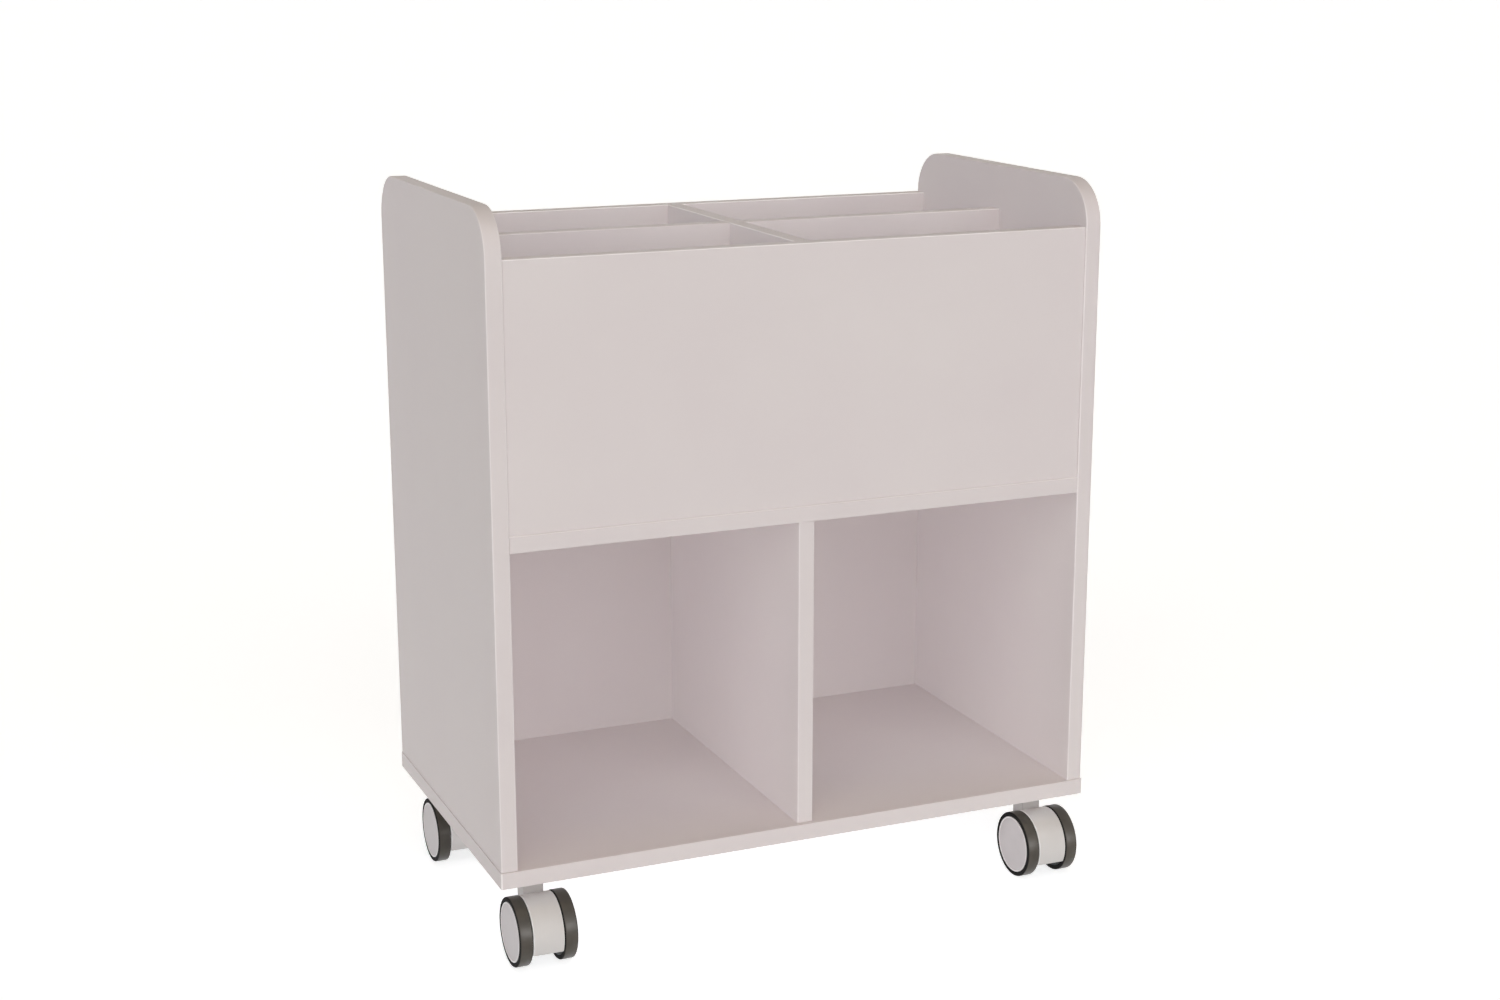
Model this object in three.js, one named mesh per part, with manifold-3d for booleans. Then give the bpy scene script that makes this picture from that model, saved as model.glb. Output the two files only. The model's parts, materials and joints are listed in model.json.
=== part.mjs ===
// Picture book browser bin: a board cabinet on four twin-wheel casters.
// Four browsing bins lie above two open cubbies, between two side panels with rounded top corners.
// Millimetres, +Z up, the front faces -Y.
// The origin is on the floor, below the middle of the whole object's box.
import * as THREE from 'three';
import { mergeVertices } from 'three/addons/utils/BufferGeometryUtils.js';
import Module from 'manifold-3d';

const wasm = await Module();
wasm.setup();

// Driving dimensions of the cabinet
const boardThickness = 18;
const carcassWidth = 700;
const carcassDepth = 400;
const cubbyHeight = 343;
const binDepth = 280;
const sideRise = 50;
const sideCornerRadius = 50;
const baseOverhangSide = 1;
const baseOverhangFront = 2;
const binFrontRecess = 2;
const cubbyDividerRecess = 4;

// Clearances: at the ends of the boards between the sides, in the dividers' cross lap, round a fastener
const endGap = 0.5;
const lapGap = 0.4;
const fastenerGap = 0.3;

// Driving dimensions of the dowels and base screws
const dowelRadius = 4;
const dowelInSide = 12;
const dowelInBoard = 22;
const shelfDowelInset = 80;
const binFrontDowelInset = 60;
const backDowelInset = 130;
const screwInset = 110;
const screwHeadRadius = 5;
const screwHeadDepth = 4;
const screwShankRadius = 3.2;
const screwLength = 50;
const screwTipLength = 5;
const screwSocketRadius = 2;
const screwSocketDepth = 2.5;

// Driving dimensions of a caster
const casterHeight = 96;
const casterInsetSide = 45;
const casterInsetFront = 45;
const trail = 26;
const wheelRadius = 37.5;
const tyreThickness = 5;
const tyreChamfer = 1.2;
const casterWidth = 64.5;
const wheelWidth = 14.75;
const wheelGap = 0.5;
const hubWall = 3;
const hubChamfer = 0.8;
const hubBossRadius = 7.5;
const axleRadius = 4;
const axleGap = 0.3;
const axleEndGap = 1;
const hoodRadius = 37;
const hoodWall = 3.2;
const hoodWebThickness = 8;
const hoodBossRadius = 8;
const hoodCutHeight = 21;
const neckSize = 22.5;
const neckFoot = 38;
const neckTopGap = 0.5;
const stemPinRadius = 4;
const stemPinLength = 40;
const stemCollarRadius = 9;
const stemCollarHeight = 3.4;
const stemCollarGap = 0.3;
const stemThreadRadius = 5;
const stemThreadLength = 12;
const stemChamfer = 1;
const insertRadius = 7.5;
const insertLength = 13;

// Number of flats round the wheels, the fittings and the holes: a multiple of four stands a wheel on a flat
const wheelSides = 28;
const fittingSides = 12;
const holeSides = 8;

// Levels above the floor
const baseTop = casterHeight + boardThickness;
const shelfUnderside = baseTop + cubbyHeight;
const shelfTop = shelfUnderside + boardThickness;
const binRim = shelfTop + binDepth;
const sideTop = binRim + sideRise;

// The flats of a wheel touch the true circle, so its corners stand a little outside it.
const flatsToCorners = 1 / Math.cos(Math.PI / wheelSides);

// The front wheels trail out in front of the cabinet, so the cabinet sits behind the middle of the box.
const frontReach = carcassDepth / 2 - casterInsetFront + trail + wheelRadius;
const rearReach = carcassDepth / 2;
const carcassY = (frontReach - rearReach) / 2;

// Planes of the cabinet
const sideOuter = carcassWidth / 2;
const sideInner = sideOuter - boardThickness;
const carcassFront = carcassY - carcassDepth / 2;
const carcassRear = carcassY + carcassDepth / 2;
const backInner = carcassRear - boardThickness;
const binFrontOuter = carcassFront + binFrontRecess;
const binFrontInner = binFrontOuter + boardThickness;
const binMiddle = (binFrontInner + backInner) / 2;
const boardEnd = sideInner - endGap;
const halfBoard = boardThickness / 2;

const finish = {
  laminate: { color: 0xd8cdca, roughness: 0.45, metalness: 0 },
  dowelWood: { color: 0xc9a877, roughness: 0.8, metalness: 0 },
  zincSteel: { color: 0xb9bcc0, roughness: 0.35, metalness: 1 },
  brass: { color: 0xc2a35a, roughness: 0.35, metalness: 1 },
  whitePlastic: { color: 0xcfc8c6, roughness: 0.4, metalness: 0 },
  tyreRubber: { color: 0x4b4742, roughness: 0.6, metalness: 0 },
};

const bin = new THREE.Group();

function addPiece(group, name, geometry, finishName, position = [0, 0, 0]) {
  const piece = new THREE.Mesh(geometry, new THREE.MeshStandardMaterial(finish[finishName]));
  piece.name = name;
  piece.position.set(...position);
  group.add(piece);
}

// A closed geometry as a solid that can be joined and cut, without the empty triangles at a pole.
function toSolid(geometry) {
  const bare = geometry.clone();
  bare.deleteAttribute('normal');
  bare.deleteAttribute('uv');
  const merged = mergeVertices(bare);
  const corners = merged.index.array;
  const kept = [];
  for (let i = 0; i < corners.length; i += 3) {
    const [a, b, c] = corners.slice(i, i + 3);
    if (a !== b && b !== c && c !== a) kept.push(a, b, c);
  }
  const vertProperties = new Float32Array(merged.attributes.position.array);
  const triVerts = new Uint32Array(kept);
  return new wasm.Manifold(new wasm.Mesh({ numProp: 3, vertProperties, triVerts }));
}

function toGeometry(solid) {
  const mesh = solid.getMesh();
  const geometry = new THREE.BufferGeometry();
  geometry.setAttribute('position', new THREE.BufferAttribute(mesh.vertProperties, 3));
  geometry.setIndex(new THREE.BufferAttribute(mesh.triVerts, 1));
  geometry.computeVertexNormals();
  return geometry;
}

function joined(solids) {
  return solids.reduce((whole, solid) => whole.add(solid));
}

// A round bar between two points.
function bar(from, to, radius, sides) {
  const start = new THREE.Vector3(...from);
  const end = new THREE.Vector3(...to);
  const along = end.clone().sub(start);
  const geometry = new THREE.CylinderGeometry(radius, radius, along.length(), sides);
  const upward = new THREE.Vector3(0, 1, 0);
  geometry.applyQuaternion(new THREE.Quaternion().setFromUnitVectors(upward, along.normalize()));
  geometry.translate(...start.lerp(end, 0.5).toArray());
  return geometry;
}

// A box between its lowest and highest corners.
function block(low, high) {
  const geometry = new THREE.BoxGeometry(high[0] - low[0], high[1] - low[1], high[2] - low[2]);
  geometry.translate((low[0] + high[0]) / 2, (low[1] + high[1]) / 2, (low[2] + high[2]) / 2);
  return geometry;
}

// A profile of [radius, height] points turned about +Z.
function turned(profile, sides) {
  const points = profile.map(([radius, height]) => new THREE.Vector2(radius, height));
  const geometry = new THREE.LatheGeometry(points, sides, Math.PI / sides);
  geometry.rotateX(Math.PI / 2);
  return geometry;
}

// Base screws: countersunk in the base's underside, up into the sides and the cubby divider
function screwProfile(clearance) {
  const head = screwHeadRadius + clearance;
  const shank = screwShankRadius + clearance;
  const top = screwLength + clearance;
  return [[head, 0], [shank, screwHeadDepth], [shank, top - screwTipLength], [0, top]];
}

function screwGeometry() {
  const socket = [[0, screwSocketDepth], [screwSocketRadius, screwSocketDepth], [screwSocketRadius, 0]];
  return turned([...socket, ...screwProfile(0)], holeSides);
}

function screwHole([x, y]) {
  const geometry = turned([[0, 0], ...screwProfile(fastenerGap)], holeSides);
  geometry.translate(x, y, casterHeight);
  return toSolid(geometry);
}

const sideMiddle = sideInner + halfBoard;
const screwFrontY = carcassFront + screwInset;
const screwRearY = carcassRear - screwInset;
const screwPlaces = {
  base_screw_left_front: [-sideMiddle, screwFrontY],
  base_screw_left_rear: [-sideMiddle, screwRearY],
  base_screw_middle_front: [0, screwFrontY],
  base_screw_middle_rear: [0, screwRearY],
  base_screw_right_front: [sideMiddle, screwFrontY],
  base_screw_right_rear: [sideMiddle, screwRearY],
};

// Dowels: glued pegs between the sides and the boards, and one between the cubby divider and the shelf
const shelfMiddle = shelfUnderside + halfBoard;
const binFrontMiddle = binFrontOuter + halfBoard;
const backMiddle = backInner + halfBoard;
const endDowels = {
  shelf_front: [carcassFront + shelfDowelInset, shelfMiddle],
  shelf_rear: [backInner - shelfDowelInset, shelfMiddle],
  bin_front_low: [binFrontMiddle, shelfTop + binFrontDowelInset],
  bin_front_high: [binFrontMiddle, binRim - binFrontDowelInset],
  back_low: [backMiddle, baseTop + backDowelInset],
  back_high: [backMiddle, binRim - backDowelInset],
};

const dowels = {
  dowel_divider_top: {
    from: [0, binMiddle, shelfUnderside - dowelInBoard],
    to: [0, binMiddle, shelfUnderside + dowelInSide],
  },
};
for (const [place, [y, z]] of Object.entries(endDowels)) {
  for (const [hand, sign] of [['left', -1], ['right', 1]]) {
    dowels[`dowel_${place}_${hand}`] = {
      from: [sign * (sideInner + dowelInSide), y, z],
      to: [sign * (sideInner - dowelInBoard), y, z],
    };
  }
}

// A dowel's hole is a gap wider and a gap longer at each end.
function dowelHole({ from, to }) {
  const along = new THREE.Vector3(...to).sub(new THREE.Vector3(...from)).setLength(fastenerGap);
  const start = new THREE.Vector3(...from).sub(along);
  const end = new THREE.Vector3(...to).add(along);
  return toSolid(bar(start.toArray(), end.toArray(), dowelRadius + fastenerGap, holeSides));
}

// Casters: their swivel axes, and the blind holes for their inserts in the base
const casterX = carcassWidth / 2 - casterInsetSide;
const casterFrontY = carcassFront + casterInsetFront;
const casterRearY = carcassRear - casterInsetFront;
const casters = {
  front_left: { x: -casterX, y: casterFrontY, outward: -1 },
  front_right: { x: casterX, y: casterFrontY, outward: 1 },
  rear_left: { x: -casterX, y: casterRearY, outward: -1 },
  rear_right: { x: casterX, y: casterRearY, outward: 1 },
};

function insertHole({ x, y }) {
  const mouth = casterHeight - fastenerGap;
  const bottom = casterHeight + insertLength + fastenerGap;
  return toSolid(bar([x, y, mouth], [x, y, bottom], insertRadius + fastenerGap, fittingSides));
}

const drilledHoles = joined([
  ...Object.values(screwPlaces).map(screwHole),
  ...Object.values(dowels).map(dowelHole),
  ...Object.values(casters).map(insertHole),
]);

// Each board is cut to shape in place and drilled, then its mesh is placed at the board's middle.
function addBoard(name, geometry) {
  const drilled = toGeometry(toSolid(geometry).subtract(drilledHoles));
  const middle = new THREE.Vector3();
  geometry.computeBoundingBox();
  geometry.boundingBox.getCenter(middle);
  drilled.translate(-middle.x, -middle.y, -middle.z);
  addPiece(bin, name, drilled, 'laminate', middle.toArray());
}

// Base: full width below the sides
addBoard('base_panel', block(
  [-sideOuter - baseOverhangSide, carcassFront - baseOverhangFront, casterHeight],
  [sideOuter + baseOverhangSide, carcassRear, baseTop],
));

// Side panels: standing on the base, rounded at the top front and top rear corners
function sideGeometry(lowX) {
  const outline = new THREE.Shape();
  outline.moveTo(carcassFront, baseTop);
  outline.lineTo(carcassRear, baseTop);
  outline.lineTo(carcassRear, sideTop - sideCornerRadius);
  outline.absarc(carcassRear - sideCornerRadius, sideTop - sideCornerRadius, sideCornerRadius, 0, Math.PI / 2);
  outline.lineTo(carcassFront + sideCornerRadius, sideTop);
  outline.absarc(
    carcassFront + sideCornerRadius, sideTop - sideCornerRadius, sideCornerRadius, Math.PI / 2, Math.PI,
  );
  outline.closePath();
  const geometry = new THREE.ExtrudeGeometry(
    outline, { depth: boardThickness, bevelEnabled: false, curveSegments: holeSides },
  );
  const standing = new THREE.Matrix4().makeBasis(
    new THREE.Vector3(0, 1, 0), new THREE.Vector3(0, 0, 1), new THREE.Vector3(1, 0, 0),
  );
  geometry.applyMatrix4(standing);
  geometry.translate(lowX, 0, 0);
  return geometry;
}

addBoard('left_side_panel', sideGeometry(-sideOuter));
addBoard('right_side_panel', sideGeometry(sideInner));

// Shelf: the floor of the bins and the ceiling of the cubbies
addBoard('bin_floor_shelf', block(
  [-boardEnd, carcassFront, shelfUnderside],
  [boardEnd, backInner, shelfTop],
));

// Back: one board from the base to the rim
addBoard('back_panel', block([-boardEnd, backInner, baseTop], [boardEnd, carcassRear, binRim]));

// Bin front: standing on the shelf, a little behind its front edge
addBoard('bin_front_panel', block(
  [-boardEnd, binFrontOuter, shelfTop],
  [boardEnd, binFrontInner, binRim],
));

// Cubby divider: between the base and the shelf
addBoard('cubby_divider', block(
  [-halfBoard, carcassFront + cubbyDividerRecess, baseTop],
  [halfBoard, backInner, shelfUnderside],
));

// Bin dividers: two boards that cross in a half lap, slotted from below and from above
const lapLevel = shelfTop + binDepth / 2;
const lapHalf = halfBoard + lapGap;

function lapCut(low, high) {
  return toSolid(block(
    [-lapHalf, binMiddle - lapHalf, low],
    [lapHalf, binMiddle + lapHalf, high],
  ));
}

const crossDivider = toSolid(block(
  [-halfBoard, binFrontInner, shelfTop],
  [halfBoard, backInner, binRim],
));
const longDivider = toSolid(block(
  [-boardEnd, binMiddle - halfBoard, shelfTop],
  [boardEnd, binMiddle + halfBoard, binRim],
));
addBoard('bin_cross_divider', toGeometry(crossDivider.subtract(lapCut(casterHeight, lapLevel + lapGap))));
addBoard('bin_long_divider', toGeometry(longDivider.subtract(lapCut(lapLevel, sideTop))));

for (const [name, [x, y]] of Object.entries(screwPlaces)) {
  addPiece(bin, name, screwGeometry(), 'zincSteel', [x, y, casterHeight]);
}

for (const [name, { from, to }] of Object.entries(dowels)) {
  addPiece(bin, name, bar(from, to, dowelRadius, holeSides), 'dowelWood');
}

// Caster fittings, modelled with the swivel axis along Z at x = 0, y = 0 and the floor at z = 0
const axleHeight = wheelRadius;
const stemCollarTop = casterHeight - stemCollarGap;
const stemCollarFoot = stemCollarTop - stemCollarHeight;
const neckTop = stemCollarFoot - neckTopGap;
const stemFoot = stemCollarFoot - stemPinLength;
const stemTop = stemCollarTop + stemThreadLength;
const wheelInnerFace = casterWidth / 2 - wheelWidth;
const hoodHalfWidth = wheelInnerFace - wheelGap;
const rimRadius = wheelRadius - tyreThickness;

// Threaded insert, pressed into the base
function insertGeometry() {
  const bore = stemThreadRadius + fastenerGap;
  const top = casterHeight + insertLength;
  return turned([
    [bore, casterHeight], [insertRadius, casterHeight], [insertRadius, top], [bore, top], [bore, casterHeight],
  ], fittingSides);
}

// Stem: a thread in the insert, a collar under the base and a pin in the hood's neck
function stemGeometry() {
  return turned([
    [0, stemFoot],
    [stemPinRadius - stemChamfer, stemFoot],
    [stemPinRadius, stemFoot + stemChamfer],
    [stemPinRadius, stemCollarFoot],
    [stemCollarRadius, stemCollarFoot],
    [stemCollarRadius, stemCollarTop],
    [stemThreadRadius, stemCollarTop],
    [stemThreadRadius, stemTop - stemChamfer],
    [stemThreadRadius - stemChamfer, stemTop],
    [0, stemTop],
  ], fittingSides);
}

// A round bar along the axle, between two distances from the caster's middle.
function axleBar(fromX, toX, radius, sides) {
  return bar([fromX, -trail, axleHeight], [toX, -trail, axleHeight], radius, sides);
}

// Hood: a round shell between the wheels, open below, with a web, an axle boss and a square neck
function hoodGeometry() {
  const drum = toSolid(axleBar(-hoodHalfWidth, hoodHalfWidth, hoodRadius, wheelSides));
  const halfWeb = hoodWebThickness / 2;
  const pockets = [-1, 1].map((hand) => toSolid(
    axleBar(hand * halfWeb, hand * casterWidth, hoodRadius - hoodWall, wheelSides),
  ));
  const boss = toSolid(axleBar(-hoodHalfWidth, hoodHalfWidth, hoodBossRadius, fittingSides));
  const neck = toSolid(block(
    [-neckSize / 2, -neckSize / 2, neckFoot],
    [neckSize / 2, neckSize / 2, neckTop],
  ));
  const belowCut = toSolid(block(
    [-casterWidth, -2 * casterWidth, -casterWidth],
    [casterWidth, 2 * casterWidth, hoodCutHeight],
  ));
  const axleBore = toSolid(axleBar(-casterWidth, casterWidth, axleRadius + axleGap, fittingSides));
  const stemBore = toSolid(bar(
    [0, 0, stemFoot - neckTopGap], [0, 0, casterHeight], stemPinRadius + axleGap, fittingSides,
  ));
  const shell = drum.subtract(joined(pockets));
  return toGeometry(joined([shell, boss, neck]).subtract(joined([belowCut, axleBore, stemBore])));
}

// A wheel's profile holds [radius, distance in from the wheel's outer face].
// It is turned about the axle, with the outer face away from the caster's middle on the given hand.
function wheelPart(profile, hand) {
  const geometry = turned(profile, wheelSides);
  geometry.rotateY(-hand * Math.PI / 2);
  geometry.translate(hand * casterWidth / 2, -trail, axleHeight);
  return geometry;
}

// Hub: a closed disc flush with the tyre, a rim and a blind boss that turns on the axle
function hubGeometry(hand) {
  const rim = (rimRadius - fastenerGap) * flatsToCorners;
  const innerRim = (rimRadius - hubWall) * flatsToCorners;
  const bore = axleRadius + axleGap;
  const floor = hubWall + axleEndGap;
  return wheelPart([
    [0, 0], [rim - hubChamfer, 0], [rim, hubChamfer], [rim, wheelWidth],
    [innerRim, wheelWidth], [innerRim, hubWall], [hubBossRadius, hubWall],
    [hubBossRadius, wheelWidth], [bore, wheelWidth], [bore, floor], [0, floor],
  ], hand);
}

// Tyre: a ring with small chamfers at the tread's edges
function tyreGeometry(hand) {
  const inside = rimRadius * flatsToCorners;
  const outside = wheelRadius * flatsToCorners;
  return wheelPart([
    [inside, 0], [outside - tyreChamfer, 0], [outside, tyreChamfer],
    [outside, wheelWidth - tyreChamfer], [outside - tyreChamfer, wheelWidth],
    [inside, wheelWidth], [inside, 0],
  ], hand);
}

const axleEnd = casterWidth / 2 - hubWall - 2 * axleEndGap;

for (const [place, { x, y, outward }] of Object.entries(casters)) {
  const caster = new THREE.Group();
  caster.position.set(x, y, 0);
  bin.add(caster);
  addPiece(caster, `${place}_insert`, insertGeometry(), 'brass');
  addPiece(caster, `${place}_stem`, stemGeometry(), 'zincSteel');
  addPiece(caster, `${place}_hood`, hoodGeometry(), 'whitePlastic');
  addPiece(caster, `${place}_axle`, axleBar(-axleEnd, axleEnd, axleRadius, fittingSides), 'zincSteel');
  for (const [face, hand] of [['outer', outward], ['inner', -outward]]) {
    addPiece(caster, `${place}_${face}_hub`, hubGeometry(hand), 'whitePlastic');
    addPiece(caster, `${place}_${face}_tyre`, tyreGeometry(hand), 'tyreRubber');
  }
}

export default bin;
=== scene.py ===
# Picture book browser bin: a pale laminate cabinet on four twin-wheel casters.
# Metres, +Z up, the front faces -Y.
# Each new piece is worked out from the box of the node that it stands for.
import json
import math

import bmesh
import bpy
import numpy as np
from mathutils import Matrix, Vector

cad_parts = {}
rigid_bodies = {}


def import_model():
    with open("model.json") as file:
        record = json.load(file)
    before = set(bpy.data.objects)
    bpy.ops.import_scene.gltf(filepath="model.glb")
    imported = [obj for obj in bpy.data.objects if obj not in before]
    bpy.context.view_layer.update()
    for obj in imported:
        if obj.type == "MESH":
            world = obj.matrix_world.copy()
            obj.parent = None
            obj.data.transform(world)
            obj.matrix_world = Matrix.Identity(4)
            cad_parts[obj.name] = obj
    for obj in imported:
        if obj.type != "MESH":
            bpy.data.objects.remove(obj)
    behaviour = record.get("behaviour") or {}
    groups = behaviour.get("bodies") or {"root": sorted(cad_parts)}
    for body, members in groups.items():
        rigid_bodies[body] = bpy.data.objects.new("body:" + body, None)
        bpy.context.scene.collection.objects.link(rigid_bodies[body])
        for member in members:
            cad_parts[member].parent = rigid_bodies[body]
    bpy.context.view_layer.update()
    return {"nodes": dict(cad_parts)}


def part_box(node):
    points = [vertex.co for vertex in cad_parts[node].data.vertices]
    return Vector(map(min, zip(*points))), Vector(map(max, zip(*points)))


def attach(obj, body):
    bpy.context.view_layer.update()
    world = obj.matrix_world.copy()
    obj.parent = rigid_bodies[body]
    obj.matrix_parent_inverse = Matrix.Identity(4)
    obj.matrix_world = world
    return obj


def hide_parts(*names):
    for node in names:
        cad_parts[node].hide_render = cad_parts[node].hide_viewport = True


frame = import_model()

mm = 0.001
scene = bpy.context.scene


# Camera: at the photograph's place and heading, pitched down at the cabinet with no shift
camera = {
    "place": (-0.9841, -2.3162, 1.0614),
    "yaw": 23.32,       # degrees from +Y towards +X
    "pitch": 13.92,     # degrees below the horizon
    "lens": 54.46,
}


def makeCamera():
    data = bpy.data.cameras.new("photoCamera")
    data.lens = camera["lens"]
    item = bpy.data.objects.new("photoCamera", data)
    item.location = camera["place"]
    item.rotation_euler = (math.radians(90 - camera["pitch"]), 0, -math.radians(camera["yaw"]))
    scene.collection.objects.link(item)
    scene.camera = item


makeCamera()
print("camera placed")


# Shader helpers
def tone(red, green, blue):     # a display colour, 0 to 255, as the linear colour that a socket takes
    display = np.array([red, green, blue]) / 255
    linear = np.where(display > 0.04045, ((display + 0.055) / 1.055) ** 2.4, display / 12.92)
    return (*linear.tolist(), 1.0)


# Gives a socket a value, or links an output to it
def feed(tree, socket, value):
    if isinstance(value, bpy.types.NodeSocket):
        tree.links.new(value, socket)
    else:
        socket.default_value = value


# Adds a shader node, with its settings made before its inputs are fed
def addNode(tree, kind, inputs=None, **settings):
    node = tree.nodes.new("ShaderNode" + kind)
    for name, value in settings.items():
        setattr(node, name, value)
    for name, value in (inputs or {}).items():
        feed(tree, node.inputs[name], value)
    return node


def maths(tree, operation, first, second):
    return addNode(tree, "Math", {0: first, 1: second}, operation=operation).outputs[0]


# Stretches a value from one span onto another and holds it at the ends
def stretch(tree, value, span, onto):
    return addNode(tree, "MapRange", {
        "Value": value, "From Min": span[0], "From Max": span[1], "To Min": onto[0], "To Max": onto[1],
    }).outputs[0]


def colourMix(tree, factor, first, second):     # 6, 7 and 2 are the node's colour sockets
    return addNode(tree, "Mix", {0: factor, 6: first, 7: second}, data_type="RGBA").outputs[2]


# A node group with named inputs (name: kind, default) and outputs (name: kind)
def newGroup(name, inputs, outputs):
    group = bpy.data.node_groups.new(name, "ShaderNodeTree")
    for label, (kind, value) in inputs.items():
        socket = group.interface.new_socket(label, in_out="INPUT", socket_type="NodeSocket" + kind)
        socket.default_value = value
    for label, kind in outputs.items():
        group.interface.new_socket(label, in_out="OUTPUT", socket_type="NodeSocket" + kind)
    return group, group.nodes.new("NodeGroupInput").outputs, group.nodes.new("NodeGroupOutput").inputs


def placeGroup(tree, group, inputs):
    return addNode(tree, "Group", inputs, node_tree=group).outputs


def newMaterial(name):
    material = bpy.data.materials.new(name)
    material.use_nodes = True
    tree = material.node_tree
    tree.nodes.clear()
    shader = addNode(tree, "BsdfPrincipled")
    addNode(tree, "OutputMaterial", {"Surface": shader.outputs[0]})
    return material, tree, shader


# Studio: a world that lights from all round, a broad light from the front left and a weak warm one
# from overhead. Fills without shadows keep the insides pale, a light from behind and below does so
# for the back, and a small light gives the tyres their gleam.
studio = {
    "ambient": 0.46,        # the world's light from the sides and below
    "skyTop": 0.8,          # sine of the height at which it ends
    "lamps": {      # level, colour, where it comes from, spread in degrees, whether it casts shadows
        "frontLight": (0.88, (0.99, 1.0, 1.01), (-0.32, -0.92, 0.20), 100, True),
        "topLight": (0.07, (1.30, 0.85, 0.25), (0.0, -0.1, 1.0), 30, True),
        "leftFill": (0.135, (0.90, 0.93, 0.98), (-0.80, 0.30, -0.52), 180, False),
        "farFill": (0.15, (0.84, 1.0, 1.10), (0.45, 0.48, -0.75), 180, False),
        "rightFill": (0.22, (1.0, 0.98, 0.98), (0.91, 0.15, -0.38), 10, False),
        "rearLight": (0.36, (1.0, 1.0, 1.0), (0.15, 0.91, -0.38), 30, True),
        "tyreGleam": (0.55, (1.0, 1.0, 1.0), (0.29, -0.93, 0.22), 24, True),
    },
    "reach": {"tyreGleam": "Tyre"},     # a lamp that lights only pieces whose names end so
    "floorTone": 0.65,
    "floorLight": 0.454,    # what the lamps and the world give the open floor
    "floorReach": 80.0,
}


# 1 on rays from the camera, in reflections and through glass, which see the plain white backdrop
def backdropMask(tree):
    path = addNode(tree, "LightPath").outputs
    seen = maths(tree, "MAXIMUM", path["Is Camera Ray"], path["Is Glossy Ray"])
    return maths(tree, "MAXIMUM", seen, path["Is Transmission Ray"])


# The world lights from all round but not from overhead, so that upward faces stay the darker ones
def makeWorld():
    world = bpy.data.worlds.new("studioWorld")
    world.use_nodes = True
    tree = world.node_tree
    tree.nodes.clear()
    direction = addNode(tree, "SeparateXYZ", {0: addNode(tree, "TexCoord").outputs["Generated"]})
    around = stretch(tree, direction.outputs["Z"], (0.0, studio["skyTop"]), (studio["ambient"], 0.0))
    level = addNode(tree, "Mix", {0: backdropMask(tree), 2: around, 3: 1.0})
    back = addNode(tree, "Background", {"Color": (1, 1, 1, 1), "Strength": level.outputs[0]})
    addNode(tree, "OutputWorld", {"Surface": back.outputs[0]})
    scene.world = world


def makeLamp(name, level, colour, source, spread, shadows):
    data = bpy.data.lights.new(name, "SUN")
    data.energy = level * math.pi
    data.color = colour
    data.angle = math.radians(spread)
    data.use_shadow = shadows
    # A lamp without shadows reaches the insides only when it is sampled by itself
    data.cycles.use_multiple_importance_sampling = shadows
    item = bpy.data.objects.new(name, data)
    heading = math.atan2(source[0], -source[1])
    height = math.atan2(source[2], math.hypot(source[0], source[1]))
    item.rotation_euler = (math.pi / 2 - height, 0, heading)
    scene.collection.objects.link(item)


# The floor is white to the eye: its own pale tone takes the shadow, and a glow for the backdrop rays
# fills the rest. It casts no shadow itself, so light comes from below too, as it does off a white floor.
def makeFloor():
    glow = 1.0 - studio["floorTone"] * studio["floorLight"]
    material = bpy.data.materials.new("paleFloor")
    material.use_nodes = True
    tree = material.node_tree
    tree.nodes.clear()
    matt = addNode(tree, "BsdfDiffuse", {"Color": (studio["floorTone"],) * 3 + (1,)})
    level = stretch(tree, backdropMask(tree), (0.0, 1.0), (0.0, glow))
    lift = addNode(tree, "Emission", {"Color": (1, 1, 1, 1), "Strength": level})
    added = addNode(tree, "AddShader", {0: matt.outputs[0], 1: lift.outputs[0]})
    addNode(tree, "OutputMaterial", {"Surface": added.outputs[0]})
    reach = studio["floorReach"]
    corners = [(-reach, -reach, 0), (reach, -reach, 0), (reach, reach, 0), (-reach, reach, 0)]
    mesh = bpy.data.meshes.new("floor")
    mesh.from_pydata(corners, [], [(0, 1, 2, 3)])
    mesh.materials.append(material)
    floor = bpy.data.objects.new("floor", mesh)
    floor.visible_shadow = False
    scene.collection.objects.link(floor)


makeWorld()
for name, lamp in studio["lamps"].items():
    makeLamp(name, *lamp)
makeFloor()
scene.view_settings.view_transform = "Standard"
print("studio lit")


# Shared effects
mottleShape = {"driftDetail": 4.0, "pearlDetail": 2.0, "driftSpan": (0.3, 0.7), "glossSpan": (0.1, 0.45)}
# Breaks along the paler edges, which are wear and a painted highlight
edgeWearAndHighlightBreaks = {"scale": 45.0, "detail": 3.0, "span": (0.3, 0.7), "strength": (0.75, 1.0)}


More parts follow.
